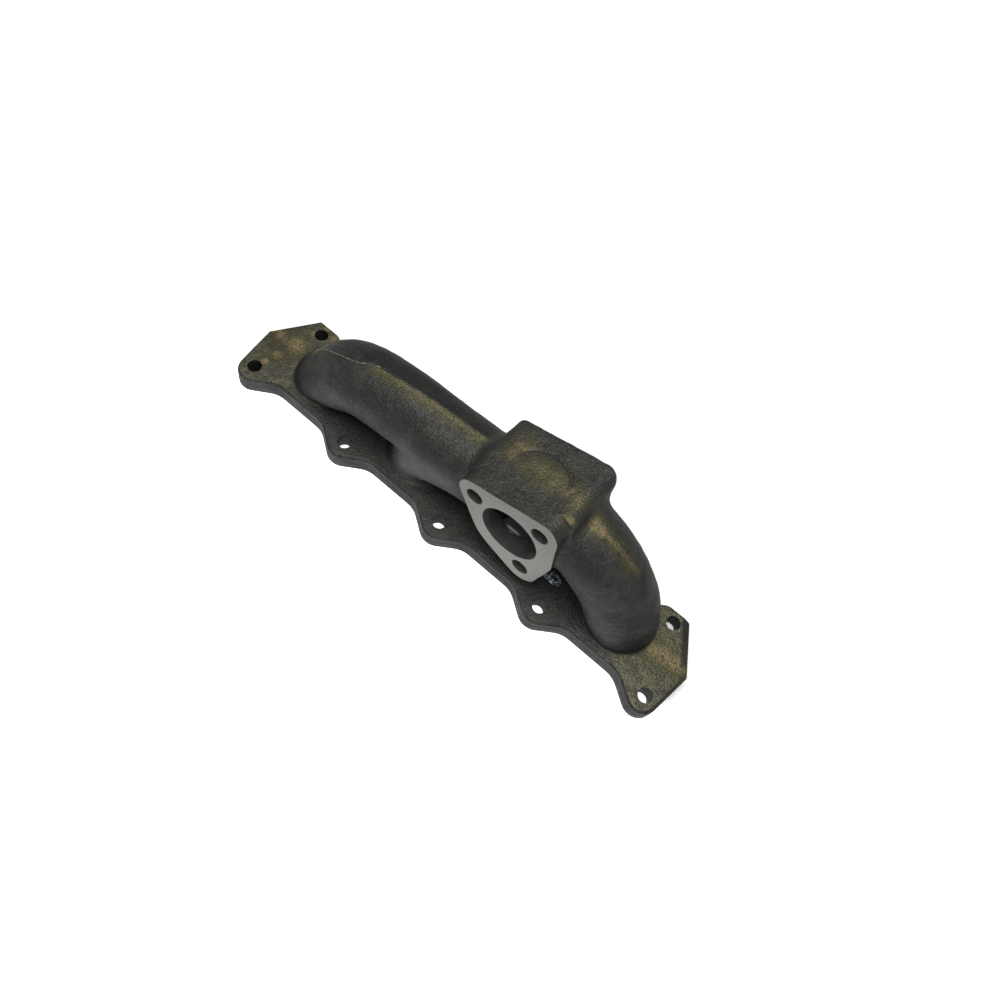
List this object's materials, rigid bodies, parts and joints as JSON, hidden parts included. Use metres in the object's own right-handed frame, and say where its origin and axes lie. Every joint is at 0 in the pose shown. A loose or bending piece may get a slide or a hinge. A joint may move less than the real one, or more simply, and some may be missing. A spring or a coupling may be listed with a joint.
{
  "type": "exhaust manifold",
  "caption": "Bare cast-iron log exhaust manifold for an inline four: scalloped head flange, tube runners and a machined three-bolt turbo outlet on a sloped collector hood.",
  "frame": {"origin": "centre of the head flange's mating face, midway between the two stud rows and under the middle front stud's line", "axes": "+X along the flange towards the outlet's end, +Y away from the outlet side, +Z out of the cylinder head"},
  "size_m": [0.3824, 0.0745, 0.1071],
  "materials": {
    "head_flange": "raw sand-cast skin, dark grey with an olive tint and ochre rust stains",
    "runner_1": "raw sand-cast skin, dark grey with an olive tint and ochre rust stains",
    "log_tube": "raw sand-cast skin, dark grey with an olive tint and ochre rust stains",
    "runner_2": "raw sand-cast skin, dark grey with an olive tint and ochre rust stains",
    "runner_3": "raw sand-cast skin, dark grey with an olive tint and ochre rust stains",
    "runner_4": "raw sand-cast skin, dark grey with an olive tint and ochre rust stains",
    "collector_hood": "raw sand-cast skin, coarse grain, ochre rust bloom",
    "outlet_flange": "machined flat, faint tool marks and stains",
    "roof_pad": "raw sand-cast skin, coarse grain, ochre rust bloom round it",
    "gate_stub": "rough broken gate"
  },
  "bodies": {
    "root": {"head_flange": "head_flange", "runner_1": "runner_1", "log_tube": "log_tube", "runner_2": "runner_2", "runner_3": "runner_3", "runner_4": "runner_4", "collector_hood": "collector_hood", "outlet_flange": "outlet_flange", "roof_pad": "roof_pad", "gate_stub": "gate_stub"}
  },
  "joints": []
}
